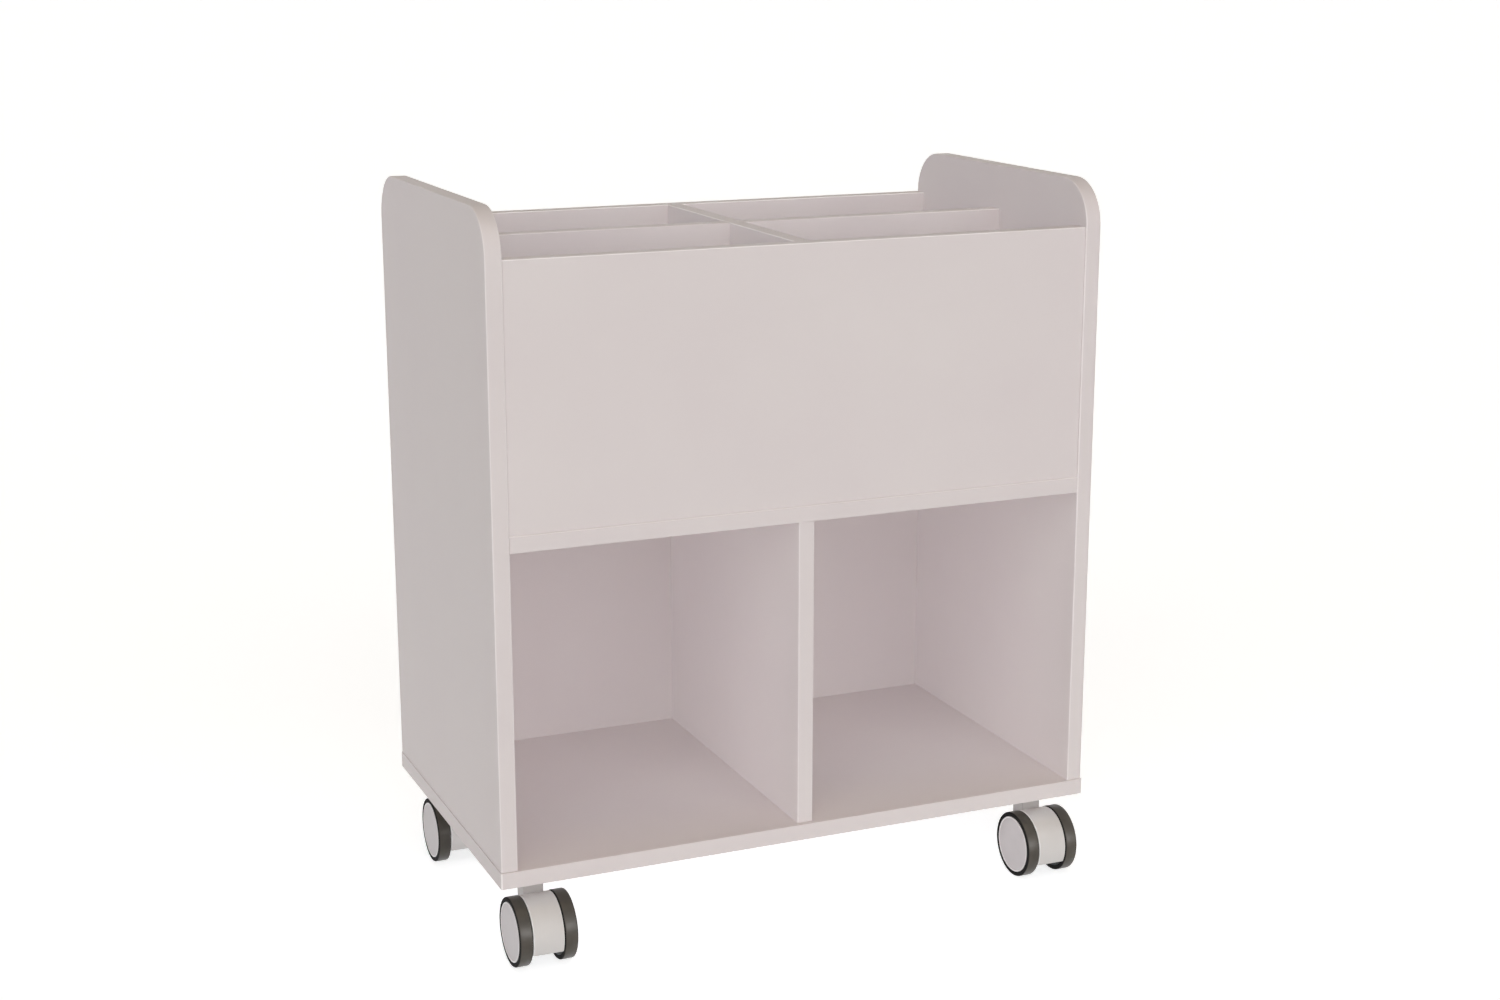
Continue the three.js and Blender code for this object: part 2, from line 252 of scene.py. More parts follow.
# Mottle: two tones that drift over the surface, fine pearl relief and the gloss that follows it
def makeMottle():
    group, given, made = newGroup(
        "mottle",
        {
            "Tone": ("Color", (0.5, 0.5, 0.5, 1)), "Other Tone": ("Color", (0.5, 0.5, 0.5, 1)),
            "Drift Scale": ("Float", 6.0), "Pearl Scale": ("Float", 900.0),
            "Roughness Low": ("Float", 0.4), "Roughness High": ("Float", 0.5),
        },
        {"Color": "Color", "Roughness": "Float", "Height": "Float"},
    )
    place = addNode(group, "TexCoord").outputs["Object"]
    drift = addNode(group, "TexNoise", {
        "Vector": place, "Scale": given["Drift Scale"], "Detail": mottleShape["driftDetail"],
    }).outputs[0]
    pearl = addNode(group, "TexNoise", {
        "Vector": place, "Scale": given["Pearl Scale"], "Detail": mottleShape["pearlDetail"],
    }).outputs[0]
    share = stretch(group, drift, mottleShape["driftSpan"], (0.0, 1.0))
    both = maths(group, "MULTIPLY", pearl, drift)
    gloss = stretch(group, both, mottleShape["glossSpan"], (given["Roughness Low"], given["Roughness High"]))
    group.links.new(colourMix(group, share, given["Tone"], given["Other Tone"]), made["Color"])
    group.links.new(gloss, made["Roughness"])
    group.links.new(pearl, made["Height"])
    return group


# Edge wear and painted highlight: paler along the rounded edges that the mesh marks, broken up along their
# length
def makeEdgeWearAndHighlight():
    group, given, made = newGroup(
        "edgeWear",
        {
            "Color": ("Color", (0.5, 0.5, 0.5, 1)), "Worn": ("Color", (0.9, 0.9, 0.9, 1)),
            "Amount": ("Float", 0.5),
        },
        {"Color": "Color"},
    )
    mark = addNode(group, "Attribute", attribute_name="arris").outputs["Fac"]
    place = addNode(group, "TexCoord").outputs["Object"]
    breaks = addNode(group, "TexNoise", {
        "Vector": place, "Scale": edgeWearAndHighlightBreaks["scale"], "Detail": edgeWearAndHighlightBreaks["detail"],
    }).outputs[0]
    strength = stretch(group, breaks, edgeWearAndHighlightBreaks["span"], edgeWearAndHighlightBreaks["strength"])
    mask = maths(group, "MULTIPLY", maths(group, "MULTIPLY", mark, strength), given["Amount"])
    group.links.new(colourMix(group, mask, given["Color"], given["Worn"]), made["Color"])
    return group


mottle = makeMottle()
edgeWear = makeEdgeWearAndHighlight()


def placeMottle(tree, look):
    return placeGroup(tree, mottle, {
        "Tone": look["tone"], "Other Tone": look["otherTone"],
        "Drift Scale": look["driftScale"], "Pearl Scale": look["pearlScale"],
        "Roughness Low": look["roughness"][0], "Roughness High": look["roughness"][1],
    })


# Feeds the shader its colour, its gloss and a fine relief from a height
def finishShader(tree, shader, look, colour, roughness, height):
    relief = addNode(tree, "Bump", {
        "Height": height, "Strength": look["relief"], "Distance": look["reliefDepth"],
    })
    feed(tree, shader.inputs["Base Color"], colour)
    feed(tree, shader.inputs["Roughness"], roughness)
    feed(tree, shader.inputs["Normal"], relief.outputs[0])


# Looks: each worn tone is the paler edge, a painted highlight with a little wear
laminateLook = {
    "tone": tone(212, 202, 201), "otherTone": tone(215, 206, 204), "worn": tone(248, 243, 241), "wear": 0.9,
    "driftScale": 5.0, "pearlScale": 1100.0, "roughness": (0.50, 0.58), "specular": 0.2,
    "relief": 0.10, "reliefDepth": 0.05 * mm,
}
casterLook = {
    "tone": tone(203, 198, 195), "otherTone": tone(207, 202, 199), "worn": tone(246, 243, 240), "wear": 0.8,
    "driftScale": 40.0, "pearlScale": 1600.0, "roughness": (0.40, 0.50), "specular": 0.25,
    "relief": 0.12, "reliefDepth": 0.05 * mm,
}
# The neck's plastic is greyer than the hood's: painted shade from the base above it
neckPaintedShadeLook = {**casterLook, "tone": tone(181, 175, 172), "otherTone": tone(186, 180, 177)}
hubLook = {
    **casterLook, "tone": tone(194, 187, 187), "otherTone": tone(198, 191, 191),
    "worn": tone(233, 227, 226), "wear": 1.0, "core": tone(17, 16, 15),
}


# Laminate with its edge band, and the casters' moulded plastic: mottle, edges paler with wear and a painted
# highlight, fine relief
def makeSatin(name, look):
    material, tree, shader = newMaterial(name)
    surface = placeMottle(tree, look)
    colour = placeGroup(tree, edgeWear, {
        "Color": surface["Color"], "Worn": look["worn"], "Amount": look["wear"],
    })["Color"]
    if "core" in look:      # the mesh marks the dark core behind a pale face, which is also painted shade for the hollow under the hood
        mark = addNode(tree, "Attribute", attribute_name="core")
        colour = colourMix(tree, mark.outputs["Fac"], colour, look["core"])
    finishShader(tree, shader, look, colour, surface["Roughness"], surface["Height"])
    shader.inputs["Specular IOR Level"].default_value = look["specular"]
    return material


tyreLook = {
    "driftScale": 60.0, "pearlScale": 1500.0, "specular": 0.2, "relief": 0.25, "reliefDepth": 0.08 * mm,
    "side": {"tone": tone(14, 13, 12), "otherTone": tone(20, 18, 17), "roughness": (0.9, 1.0)},
    "tread": {"tone": tone(69, 64, 58), "otherTone": tone(57, 53, 48), "roughness": (0.32, 0.44)},
}


# Tyre rubber: dull dark sidewalls and a tread worn paler and smoother, as the mesh marks it
def makeRubber():
    material, tree, shader = newMaterial("tyreRubber")
    side = placeMottle(tree, {**tyreLook, **tyreLook["side"]})
    tread = placeMottle(tree, {**tyreLook, **tyreLook["tread"]})
    mark = addNode(tree, "Attribute", attribute_name="tread").outputs["Fac"]
    colour = colourMix(tree, mark, side["Color"], tread["Color"])
    gloss = addNode(tree, "Mix", {0: mark, 2: side["Roughness"], 3: tread["Roughness"]})
    finishShader(tree, shader, tyreLook, colour, gloss.outputs[0], tread["Height"])
    shader.inputs["Specular IOR Level"].default_value = tyreLook["specular"]
    return material


steelLook = {
    "tone": tone(196, 199, 203), "otherTone": tone(182, 184, 188), "roughness": (0.26, 0.42),
    "driftScale": 90.0, "pearlScale": 2500.0, "relief": 0.15, "reliefDepth": 0.03 * mm,
}
brassLook = {
    **steelLook, "tone": tone(201, 171, 98), "otherTone": tone(178, 148, 82), "roughness": (0.28, 0.45),
}


# Plated steel and brass: metal with a drifting tone and a fine drawn relief
def makeMetal(name, look):
    material, tree, shader = newMaterial(name)
    surface = placeMottle(tree, look)
    finishShader(tree, shader, look, surface["Color"], surface["Roughness"], surface["Height"])
    shader.inputs["Metallic"].default_value = 1.0
    return material


beechLook = {
    "early": tone(214, 181, 137), "late": tone(186, 146, 101), "grain": (40.0, 900.0, 900.0),
    "grainDetail": 5.0, "roughness": 0.7, "relief": 0.3, "reliefDepth": 0.1 * mm,
}


# Raw beech of the dowels: noise drawn out along the peg
def makeBeech():
    material, tree, shader = newMaterial("dowelBeech")
    place = addNode(tree, "TexCoord").outputs["Object"]
    drawn = addNode(tree, "Mapping", {"Vector": place, "Scale": beechLook["grain"]})
    grain = addNode(tree, "TexNoise", {
        "Vector": drawn.outputs[0], "Scale": 1.0, "Detail": beechLook["grainDetail"],
    }).outputs[0]
    colour = colourMix(tree, grain, beechLook["early"], beechLook["late"])
    finishShader(tree, shader, beechLook, colour, beechLook["roughness"], grain)
    return material


laminate = makeSatin("laminate", laminateLook)
casterPlastic = makeSatin("casterPlastic", casterLook)
neckPlastic = makeSatin("neckPlastic", neckPaintedShadeLook)
hubPlastic = makeSatin("hubPlastic", hubLook)
tyreRubber = makeRubber()
zincSteel = makeMetal("zincSteel", steelLook)
insertBrass = makeMetal("insertBrass", brassLook)
dowelBeech = makeBeech()
print("materials made")


# Mesh helpers
sharpAngle = math.radians(32)
leastRadius = 0.1 * mm
keyStep = 0.001 * mm        # points nearer than this to each other count as one
keyBits = 21


def camel(name):
    first, *rest = name.split("_")
    return first + "".join(part.title() for part in rest)


# Low corner, high corner and middle of a node's box
def nodeBox(node):
    low, high = (np.array(corner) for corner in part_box(node))
    return low, high, (low + high) / 2


# Quads between the rows of a grid of points that closes round its columns, and round its rows if asked
def gridFaces(rows, columns, closedRows=False):
    index = np.arange(rows * columns).reshape(rows, columns)
    below = index if closedRows else index[:-1]
    above = np.roll(index, -1, axis=0) if closedRows else index[1:]
    quads = np.stack([below, np.roll(below, -1, axis=1), np.roll(above, -1, axis=1), above], axis=-1)
    return quads.reshape(-1, 4).tolist()


# A stack of rings with its first and last ring closed by a flat face
def cappedFaces(rows, columns):
    lastRing = np.arange((rows - 1) * columns, rows * columns)
    return gridFaces(rows, columns) + [list(range(columns))[::-1], lastRing.tolist()]


# Outline with rounded corners: at each corner an arc turns from the edge before it to the edge after it.
# An inset moves an edge to its left, so a left-hand corner's radius shrinks by it and a right-hand one's
# grows. It gives one ring of points for each row of insets, which holds one for all the edges or one each.
def roundedOutline(corners, radii, insets, steps):
    corners, insets = np.asarray(corners, float), np.asarray(insets, float)
    edge = corners - np.roll(corners, 1, axis=0)
    along = edge / np.linalg.norm(edge, axis=1, keepdims=True)
    after = np.roll(along, -1, axis=0)
    left = np.stack([-along[:, 1], along[:, 0]], axis=1)
    turn = np.arctan2(along[:, 0] * after[:, 1] - along[:, 1] * after[:, 0], (along * after).sum(axis=1))
    before = np.broadcast_to(insets.reshape(len(insets), -1), (len(insets), len(corners)))
    behind = np.roll(before, -1, axis=1)
    moved = corners + (before[..., None] * after - behind[..., None] * along) / np.sin(turn)[:, None]
    radius = np.maximum(radii - np.sign(turn) * (before + behind) / 2, leastRadius)[..., None]
    start = moved - along * radius * np.tan(np.abs(turn) / 2)[:, None]
    angle = (np.abs(turn)[:, None] * np.linspace(0, 1, steps + 1))[..., None]
    arc = np.sin(angle) * along[:, None] + (1 - np.cos(angle)) * (np.sign(turn)[:, None] * left)[:, None]
    return (start[:, :, None] + radius[..., None] * arc).reshape(len(insets), -1, 2)


# Turns rows of radius and height about +Z at a place. Each radius may change round the turn.
def turnedUpright(radius, height, place, sides):
    angle = np.linspace(0, 2 * math.pi, sides, endpoint=False)
    radius = np.broadcast_to(radius, (len(height), sides))
    return np.stack([
        place[0] + radius * np.cos(angle), place[1] + radius * np.sin(angle),
        np.broadcast_to(np.reshape(height, (-1, 1)), radius.shape),
    ], axis=-1)


def smooth(mesh):
    mesh.shade_smooth()
    mesh.set_sharp_from_angle(angle=sharpAngle)


# A piece from points and faces, with its faces turned outwards and marks stored at its points
def addPiece(name, points, faces, material, marks=None):
    mesh = bpy.data.meshes.new(name)
    mesh.from_pydata(np.reshape(points, (-1, 3)), [], faces)
    for label, values in (marks or {}).items():
        mark = mesh.attributes.new(label, "FLOAT", "POINT")
        mark.data.foreach_set("value", np.ravel(values).astype(np.float32))
    shape = bmesh.new()
    shape.from_mesh(mesh)
    bmesh.ops.recalc_face_normals(shape, faces=shape.faces)
    shape.to_mesh(mesh)
    shape.free()
    mesh.materials.append(material)
    smooth(mesh)
    piece = bpy.data.objects.new(name, mesh)
    scene.collection.objects.link(piece)
    return piece


# One whole number for each point of a mesh, from its place
def pointKeys(mesh):
    points = np.empty(len(mesh.vertices) * 3, np.float32)
    mesh.vertices.foreach_get("co", points)
    steps = np.round(points.reshape(-1, 3) / keyStep).astype(np.int64)
    return steps @ [1 << 2 * keyBits, 1 << keyBits, 1]


# Cuts the tool out of the piece, or joins it on with its own material, and removes the tool.
# Points that this adds get no marks.
def shapeWith(piece, tool, operation):
    before = pointKeys(piece.data)
    step = piece.modifiers.new("shaping", "BOOLEAN")
    step.operation = operation
    step.object = tool
    step.solver = "EXACT"
    step.material_mode = "TRANSFER"
    with bpy.context.temp_override(object=piece, active_object=piece):
        bpy.ops.object.modifier_apply(modifier=step.name)
    bpy.data.objects.remove(tool)
    kept = np.isin(pointKeys(piece.data), before)
    for mark in piece.data.attributes:
        if mark.domain == "POINT" and mark.data_type == "FLOAT":
            values = np.empty(len(kept), np.float32)
            mark.data.foreach_get("value", values)
            mark.data.foreach_set("value", values * kept)
    smooth(piece.data)


def fit(piece, body, slot, *nodes):
    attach(piece, body)
    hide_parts(*nodes)


# Boards: a rounded outline carried through the section of the edge, from one face to the other.
# Edges in sight are banded and rounded. Edges that butt on another board or lie flush with it are
# nearly square.
boardEdge = {
    "arris": 1.2 * mm,          # radius of a banded edge
    "baseArris": 0.5 * mm,
    "arrisSteps": 6,
    "seam": 1.45 * mm,          # joint of the edge band with the face, in from the edge
    "seamWidth": 0.2 * mm,
    "seamDepth": 0.08 * mm,
    "sawn": 0.05,               # share of the rounding that a sawn or flush edge has
    # How strongly each board's edges are paled, by wear and a painted highlight
    "wear": {       # where it isn't 1
        "basePanel": 0.15, "leftSidePanel": 0.55, "rightSidePanel": 0.55,
        "binFloorShelf": 0.3, "cubbyDivider": 0.4,
    },
    "wearReach": 1.5,           # how broadly it spreads over the rounding
    "sideTopWear": 0.1,
    "corner": 1.9 * mm,         # radius of a corner between banded edges
    "sawnCorner": 0.3 * mm,
    "footCorner": 1.1 * mm,     # where an upright board's front edge stands on the base
    "sideCorner": 50 * mm,      # radius of the sides' top corners
    "cornerSteps": 20,
}
boardSides = {      # axis that a side faces along, and which of its two ends
    "left": (0, 0), "front": (1, 0), "bottom": (2, 0), "right": (0, 1), "rear": (1, 1), "top": (2, 1),
}
# Node that the board stands for, axis across its thickness, sawn sides, sides flush with another board
boards = {
    "basePanel": ("base_panel", 2, (), ("left", "right")),
    "leftSidePanel": ("left_side_panel", 0, ("bottom",)),
    "rightSidePanel": ("right_side_panel", 0, ("bottom",)),
    "binFloorShelf": ("bin_floor_shelf", 2, ("left", "right", "rear")),
    "backPanel": ("back_panel", 1, ("left", "right", "bottom")),
    "binFrontPanel": ("bin_front_panel", 1, ("left", "right", "bottom")),
    "cubbyDivider": ("cubby_divider", 0, ("top", "rear", "bottom")),
    "binCrossDivider": ("bin_cross_divider", 0, ("front", "rear", "bottom")),
    "binLongDivider": ("bin_long_divider", 1, ("left", "right", "bottom")),
}


# Section of the edge as inset and height: face, seam, quarter round, edge, quarter round, seam, face
def edgeSection(thickness, arris):
    quarter = np.linspace(0, math.pi / 2, boardEdge["arrisSteps"] + 1)
    seam, half = boardEdge["seam"], boardEdge["seamWidth"] / 2
    groove = [seam + 3 * half, seam + half, seam, seam - half]
    inset = np.concatenate([groove, arris * (1 - np.sin(quarter)), [0]])
    depth = np.concatenate([[0, 0, boardEdge["seamDepth"], 0], arris * (1 - np.cos(quarter)), [2 * arris]])
    # The paler edge mark, wear and a painted highlight, over the quarter round
    worn = np.clip(boardEdge["wearReach"] * np.sin(2 * quarter), 0, 1)
    mark = np.concatenate([np.zeros(len(groove)), worn, [0]])
    return (
        np.concatenate([inset, inset[::-1]]),
        np.concatenate([depth, thickness - depth[::-1]]),
        np.concatenate([mark, mark[::-1]]),
    )


def makeBoard(name, node, across, sawn, flush=()):
    low, high = nodeBox(node)[:2]
    first, second = (across + 1) % 3, (across + 2) % 3
    corners = [
        (low[first], low[second]), (high[first], low[second]),
        (high[first], high[second]), (low[first], high[second]),
    ]
    edges = ((first, 0), (second, 0), (first, 1), (second, 1))
    banded = np.array([edge not in [boardSides[side] for side in sawn] for edge in edges])
    worn = banded & np.array([edge not in [boardSides[side] for side in flush] for edge in edges])
    bandedBoth = banded & np.roll(banded, -1)
    radii = np.where(bandedBoth, boardEdge["corner"], boardEdge["sawnCorner"])
    if across == 0 and not node.startswith("bin"):
        radii[:2] = boardEdge["footCorner"]
    cornerWearAndHighlight, wear = bandedBoth.astype(float), worn * boardEdge["wear"].get(name, 1.0)
    if node.endswith("side_panel"):
        radii[2:] = boardEdge["sideCorner"]
        cornerWearAndHighlight[2:] = 0
        wear[3] = boardEdge["sideTopWear"]
    arris = boardEdge["baseArris" if node == "base_panel" else "arris"]
    inset, height, mark = edgeSection(high[across] - low[across], arris)
    steps = boardEdge["cornerSteps"]
    rings = roundedOutline(corners, radii, inset[:, None] * np.where(worn, 1, boardEdge["sawn"]), steps)
    points = np.empty((*rings.shape[:2], 3))
    points[..., first] = rings[..., 0]
    points[..., second] = rings[..., 1]
    points[..., across] = low[across] + height[:, None]
    share = np.linspace(0, 1, steps + 1)
    # Wear and painted highlight along each edge and round the corners between banded edges
    wearAndHighlightAlong = wear[:, None] * (1 - share) + np.roll(wear, -1)[:, None] * share
    wornAndLitCorner = cornerWearAndHighlight[:, None] * np.sin(math.pi * share)
    onEdge = inset < arris / 2
    marks = {"arris": np.maximum(mark[:, None] * wearAndHighlightAlong.ravel(), onEdge[:, None] * wornAndLitCorner.ravel())}
    piece = addPiece(name, points, cappedFaces(*rings.shape[:2]), laminate, marks)
    fit(piece, "carcass", "laminate", node)
    return piece


madeBoards = {name: makeBoard(name, *spec) for name, spec in boards.items()}
print("boards made:", len(madeBoards))


# The bin dividers cross in a half lap: a sawn slot from below in one, from above in the other
lap = {"gap": 0.4 * mm, "over": 5 * mm}     # room round the other board, how far the saw starts outside


def boxTool(low, high):
    corners = [(low[0], low[1]), (high[0], low[1]), (high[0], high[1]), (low[0], high[1])]
    rings = np.array([[(*corner, level) for corner in corners] for level in (low[2], high[2])])
    return addPiece("sawTool", rings, cappedFaces(2, 4), laminate)


def cutLap():
    crossLow, crossHigh, crossMiddle = nodeBox("bin_cross_divider")
    longLow, longHigh = nodeBox("bin_long_divider")[:2]
    low = (crossLow[0] - lap["gap"], longLow[1] - lap["gap"])
    high = (crossHigh[0] + lap["gap"], longHigh[1] + lap["gap"])
    middle = crossMiddle[2]
    fromBelow = boxTool((*low, crossLow[2] - lap["over"]), (*high, middle + lap["gap"]))
    fromAbove = boxTool((*low, middle), (*high, crossHigh[2] + lap["over"]))
    shapeWith(madeBoards["binCrossDivider"], fromBelow, "DIFFERENCE")
    shapeWith(madeBoards["binLongDivider"], fromAbove, "DIFFERENCE")


cutLap()
print("dividers lapped")


# Base screws: countersunk heads with a six-sided socket, and the holes in the base
screw = {
    "rim": 0.4 * mm,            # upright edge of the head
    "headDepth": 4 * mm,
    "shank": 3.0 * mm,
    "socket": 2.0 * mm,         # from the middle to a flat
    "socketDepth": 2.5 * mm,
    "tip": 5 * mm,
    "clear": 0.3 * mm,          # round the screw in its hole
    "holeDepth": 12 * mm,
    "sides": 48,
}
insertHole = {"clear": 0.15 * mm}
drillOver = 5 * mm              # how far below the base a hole's tool starts


# Rows from the socket's floor out to the head's rim and up the shank: a hexagon's radius is its flat
# over the cosine of the angle from the middle of that flat.
def makeScrew(node):
    low, high, place = nodeBox(node)
    head, rim, foot, top = (high[0] - low[0]) / 2, screw["rim"], low[2], high[2]
    angle = np.linspace(0, 2 * math.pi, screw["sides"], endpoint=False)
    flat = math.pi / 3
    hexagon = screw["socket"] / np.cos((angle + flat / 2) % flat - flat / 2)
    roundRows = [head - rim, head, head, screw["shank"], screw["shank"], rim]
    radii = np.concatenate([[hexagon, hexagon], np.outer(roundRows, np.ones(screw["sides"]))])
    heights = [
        foot + screw["socketDepth"], foot, foot, foot + rim / 2,
        foot + rim, foot + screw["headDepth"], top - screw["tip"], top,
    ]
    points = turnedUpright(radii, heights, place, screw["sides"])
    name = camel(node.replace("base_screw", "screw"))
    piece = addPiece(name, points, cappedFaces(*points.shape[:2]), zincSteel)
    fit(piece, "carcass", "zinc_steel", node)


# A hole in the base from below, turned from rows of radius and height
def drillBase(radii, heights, place):
    points = turnedUpright(np.reshape(radii, (-1, 1)), heights, place, screw["sides"])
    tool = addPiece("drillTool", points, cappedFaces(*points.shape[:2]), laminate)
    shapeWith(madeBoards["basePanel"], tool, "DIFFERENCE")


def cutCountersink(node):
    low, high, place = nodeBox(node)
    head = (high[0] - low[0]) / 2 + screw["clear"]
    shank = screw["shank"] + screw["clear"]
    heights = low[2] + np.array([-drillOver, screw["rim"], screw["headDepth"], screw["holeDepth"]])
    drillBase([head, head, shank, shank], heights, place)


def cutInsertHole(node):
    low, high, place = nodeBox(node)
    radius = (high[0] - low[0]) / 2 + insertHole["clear"]
    drillBase([radius, radius], [low[2] - drillOver, high[2] + insertHole["clear"]], place)


screwNodes = sorted(name for name in frame["nodes"] if name.startswith("base_screw"))
for node in screwNodes:
    makeScrew(node)
    cutCountersink(node)
insertNodes = sorted(name for name in frame["nodes"] if name.endswith("_insert"))
for node in insertNodes:
    cutInsertHole(node)
print("screws made:", len(screwNodes), "insert holes:", len(insertNodes))


# Wheels of the casters
wheel = {
    "sides": 120,
    "middle": 2.0 * mm,         # radius of the flat that closes the disc and the bore's floor
    "hubFace": 0.7 * mm,        # how far the disc lies below its rim bead
    "cap": 1.5 * mm,            # depth of the pale face, with the dark core behind it, which is also painted shade in the hollow
    "capFade": 0.3 * mm,
    "bead": 1.9 * mm,           # width of the rim bead
    "beadTop": 0.8,             # share of that width that is level, and share that is worn and carries a painted highlight
    "beadWorn": 0.9,
    "beadRound": 0.25 * mm,
    "wall": 3.0 * mm,
    "boss": 7.5 * mm,
    "bore": 4.3 * mm,
    "boreFloor": 4.0 * mm,
    "hubRound": 0.45 * mm,
    "hubSteps": 4,
    "tyreDepth": 5.0 * mm,
    "shoulder": 1.7 * mm,       # rounding of the tread's edges
    "treadFade": 0.35 * mm,     # drop of the shoulder over which the tread's tone ends
    "groove": 0.5 * mm,         # sidewall's set-back next to the hub
    "grooveFoot": 1.4 * mm,     # where it begins and ends to rise, out from the hub
    "grooveTop": 1.9 * mm,
    "grooveRound": 0.2 * mm,
    "wallRound": 0.3 * mm,
    "tyreSteps": 6,
}


# Rows of radius and distance in from the wheel's outer face, turned about the axle on the given hand
def turnedAboutAxle(profile, node, hand):
    low, high, axle = nodeBox(node)
    outerFace = high[0] if hand > 0 else low[0]
    angle = np.linspace(0, 2 * math.pi, wheel["sides"], endpoint=False)
    radius, depth = profile[:, :1], profile[:, 1:]
    return np.stack([
        np.broadcast_to(outerFace - hand * depth, (len(profile), wheel["sides"])),
        axle[1] + radius * np.cos(angle), axle[2] + radius * np.sin(angle),
    ], axis=-1)


# Hub: a turned profile from the middle of the disc over its rim bead, round the rim and into the cup
# behind, to the blind bore
def makeHub(name, node, body, hand):
    low, high = nodeBox(node)[:2]
    rim, width = (high[2] - low[2]) / 2, high[0] - low[0]
    face, bead, middle = wheel["hubFace"], wheel["bead"], wheel["middle"]
    inner = rim - wheel["wall"]
    corners = [
        (middle, face), (rim - bead, face), (rim - bead * wheel["beadTop"], 0), (rim, 0),
        (rim, width), (inner, width), (inner, wheel["wall"]), (wheel["boss"], wheel["wall"]),
        (wheel["boss"], width), (wheel["bore"], width), (wheel["bore"], wheel["boreFloor"]),
        (middle, wheel["boreFloor"]),
    ]
    radii = [0] + [wheel["hubRound"]] * (len(corners) - 2) + [0]
    radii[1] = radii[2] = wheel["beadRound"]
    steps = wheel["hubSteps"]
    profile = roundedOutline(corners, radii, [0], steps)[0][steps:-steps]
    points = turnedAboutAxle(profile, node, hand)
    # The bead's top takes the paler edge: a painted highlight with a little wear
    bump = (profile[:, 0] > rim - bead * wheel["beadWorn"]) & (profile[:, 1] < face / 2)
    # Behind the pale face the hub is dark: a dark core that is also painted shade in the hollow under the
    # hood
    core = np.clip((profile[:, 1] - wheel["cap"]) / wheel["capFade"], 0, 1)
    marks = {"arris": np.repeat(bump, wheel["sides"]), "core": np.repeat(core, wheel["sides"])}
    piece = addPiece(name, points, cappedFaces(*points.shape[:2]), hubPlastic, marks)
    fit(piece, body, "caster_plastic", node)


# Tyre: a turned ring with a flat tread, round shoulders and sidewalls that step back next to the hub.
# The inner half of its profile is the outer half mirrored.
def makeTyre(name, node, body, hand):
    low, high, axle = nodeBox(node)
    outside, width = axle[2] - low[2], high[0] - low[0]
    inside, groove = outside - wheel["tyreDepth"], wheel["groove"]
    outerHalf = np.array([
        (inside, groove), (inside + wheel["grooveFoot"], groove),
        (inside + wheel["grooveTop"], 0), (outside, 0),
    ])
    corners = np.concatenate([outerHalf, (outerHalf * (1, -1) + (0, width))[::-1]])
    radii = [wheel["grooveRound"], wheel["grooveRound"], wheel["wallRound"], wheel["shoulder"]]
    profile = roundedOutline(corners, radii + radii[::-1], [0], wheel["tyreSteps"])[0]
    points = turnedAboutAxle(profile, node, hand)
    tread = np.clip(1 - (outside - profile[:, 0]) / wheel["treadFade"], 0, 1)
    marks = {"tread": np.repeat(tread, wheel["sides"])}
    faces = gridFaces(*points.shape[:2], closedRows=True)
    piece = addPiece(name, points, faces, tyreRubber, marks)
    fit(piece, body, "tyre_rubber", node)


# Hoods of the casters
hood = {
    "wall": 3.2 * mm,
    "edgeRound": 1.2 * mm,
    "edgeSteps": 6,
    "pathSteps": 120,
    "cut": 21 * mm,             # level of the open underside
    "web": 4.0 * mm,            # half its thickness
    "boss": 8.0 * mm,
    "bossGap": 0.2 * mm,        # how far its ends lie inside the hood's sides
    "neck": 22.5 * mm,
    "neckFoot": 38 * mm,
    "neckRound": 1.0 * mm,
    "neckTopRound": 0.8 * mm,
    "neckSteps": 5,
    "pinBore": 4.3 * mm,
    "boreFoot": 48 * mm,
    "boreOver": 5 * mm,         # how far its tool starts above the neck
    "sides": 48,                # of the boss and the bore
}


# Angle from the front, over the top, at which a circle of this radius round the axle meets the hood's cut
def cutAngle(radius, axleHeight):
    return np.arcsin((hood["cut"] - axleHeight) / radius)


# Shell: a rounded section carried over the wheels' top from cut to cut
def makeShell(name, half, outside, axle):
    inside, edge = outside - hood["wall"], hood["edgeRound"]
    section = roundedOutline(
        [(-half, inside), (half, inside), (half, outside), (-half, outside)],
        [edge] * 4, [0], hood["edgeSteps"],
    )[0]
    across, radius = section[:, 0], section[:, 1]
    start = cutAngle(radius, axle[2])
    share = np.linspace(0, 1, hood["pathSteps"] + 1)[:, None]
    angle = start + share * (math.pi - 2 * start)
    points = np.stack([
        np.broadcast_to(axle[0] + across, angle.shape),
        axle[1] - radius * np.cos(angle), axle[2] + radius * np.sin(angle),
    ], axis=-1)
    # The rounded rims take the paler edge: a painted highlight with a little wear
    nearEdge = np.clip(2 - 2 * (half - np.abs(across)) / edge, 0, 1) * (radius > outside - edge)
    marks = {"arris": np.tile(nearEdge, len(share))}
    return addPiece(name, points, cappedFaces(*points.shape[:2]), casterPlastic, marks)


# Web: a flat plate across the middle of the shell, whose rim is an arc a third of the way into the wall
def makeWeb(outside, axle):
    reach = outside - hood["wall"] * 2 / 3
    begin = cutAngle(reach, axle[2])
    turn = np.linspace(begin, math.pi - begin, hood["pathSteps"] + 1)
    rim = np.stack([axle[1] - reach * np.cos(turn), axle[2] + reach * np.sin(turn)], axis=-1)
    sides = np.array([-1, 1]) * hood["web"] + axle[0]
    points = np.concatenate([
        np.broadcast_to(sides[:, None, None], (2, len(turn), 1)), np.broadcast_to(rim, (2, *rim.shape)),
    ], axis=-1)
    return addPiece("webPart", points, cappedFaces(*points.shape[:2]), casterPlastic)


